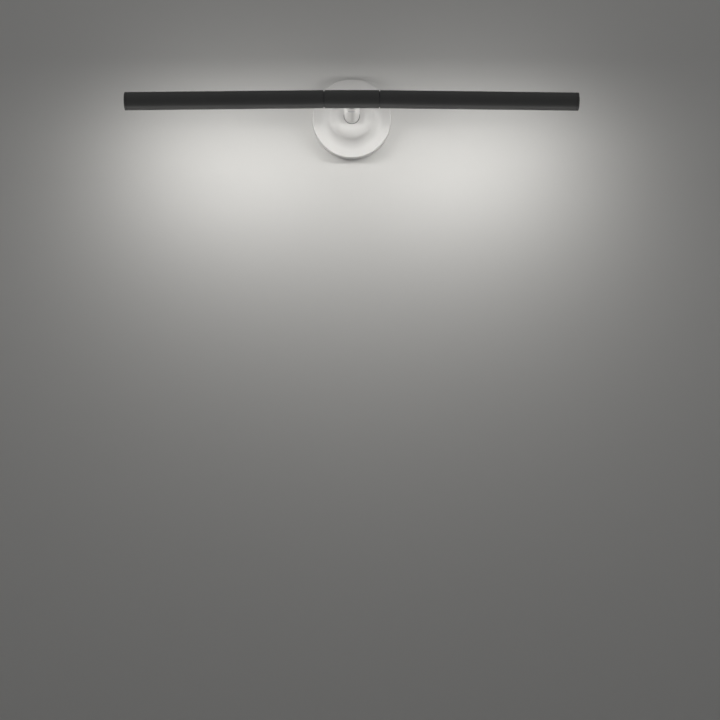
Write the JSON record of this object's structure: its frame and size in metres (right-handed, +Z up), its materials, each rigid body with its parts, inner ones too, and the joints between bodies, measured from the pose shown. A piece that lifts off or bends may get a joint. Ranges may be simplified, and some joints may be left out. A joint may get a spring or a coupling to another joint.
{
  "type": "sign light",
  "caption": "Wall sign light: a round bell-shaped base and a straight stem carry a slim bar whose swivelling LED heads light the wall below.",
  "frame": {"origin": "centre of the base's back face, on the wall, on the stem's axis", "axes": "+X along the bar to the right as seen from the front, +Y into the wall, +Z up"},
  "size_m": [0.7502, 0.25, 0.14],
  "materials": {
    "white_paint": "satin white powder coat",
    "black_paint": "matt black powder coat",
    "plated_steel": "zinc plated",
    "black_steel": "black oxide",
    "bare_aluminium": "satin anodised",
    "brass": "turned",
    "black_rubber": "matt",
    "black_plastic": "matt",
    "white_plastic": "moulded",
    "opal_plastic": "opal diffuser",
    "circuit_board": "solder mask",
    "led_board": "white solder mask",
    "led_phosphor": "phosphor",
    "lead_sheath": "grey sheath"
  },
  "bodies": {
    "base": {"wall_gasket": "black_rubber", "wall_plate": "plated_steel", "canopy": "white_paint", "canopy_screws": "plated_steel", "cable_grommet": "black_rubber", "earth_screw": "brass", "driver_case": "white_plastic", "driver_lid": "white_plastic", "driver_board": "circuit_board", "driver_screws": "plated_steel", "terminal_block": "white_plastic", "terminal_screws": "plated_steel", "mains_leads": "lead_sheath", "output_lead": "lead_sheath", "stem_seal": "black_rubber", "stem_tube": "white_paint", "stem_anchor": "plated_steel", "anchor_washer": "plated_steel", "anchor_nut": "plated_steel", "stem_bush": "bare_aluminium"},
    "lock_screw": {"level_lock_screw": "white_paint"},
    "middle": {"hub_block": "black_paint", "hub_spigot": "plated_steel", "spigot_clip": "plated_steel", "collar_washer": "black_plastic", "hub_splice": "black_plastic", "swivel_lock_screws": "black_steel"},
    "left_head": {"left_inner_cap": "black_paint", "left_cap_screw": "black_steel", "left_head_tube": "black_paint", "left_lens": "opal_plastic", "left_led_board": "led_board", "left_led_chips": "led_phosphor", "left_board_screws": "plated_steel", "left_head_lead": "lead_sheath", "left_end_gasket": "black_rubber", "left_end_cap": "black_paint", "left_end_screws": "black_steel", "left_pivot": "black_steel", "left_pivot_washer": "black_plastic", "left_pivot_nut": "brass"},
    "right_head": {"right_inner_cap": "black_paint", "right_cap_screw": "black_steel", "right_head_tube": "black_paint", "right_lens": "opal_plastic", "right_led_board": "led_board", "right_led_chips": "led_phosphor", "right_board_screws": "plated_steel", "right_head_lead": "lead_sheath", "right_end_gasket": "black_rubber", "right_end_cap": "black_paint", "right_end_screws": "black_steel", "right_pivot": "black_steel", "right_pivot_washer": "black_plastic", "right_pivot_nut": "brass"}
  },
  "joints": [
    {"name": "bar_level", "type": "hinge", "parent": "base", "child": "middle", "pos_m": [0, -0.235, 0], "axis": [0, 1, 0], "range_deg": [-90, 90]},
    {"name": "lock_screw_turn", "type": "hinge", "parent": "base", "child": "lock_screw", "pos_m": [0, -0.1872, 0], "axis": [0, 0, -1], "range_deg": [0, 180]},
    {"name": "left_head_swivel", "type": "hinge", "parent": "middle", "child": "left_head", "pos_m": [-0.0459, -0.235, 0], "axis": [0.9999, 0, 0.0112], "range_deg": [-60, 60]},
    {"name": "right_head_swivel", "type": "hinge", "parent": "middle", "child": "right_head", "pos_m": [0.0459, -0.235, 0], "axis": [0.9999, 0, -0.0112], "range_deg": [-60, 60]}
  ]
}
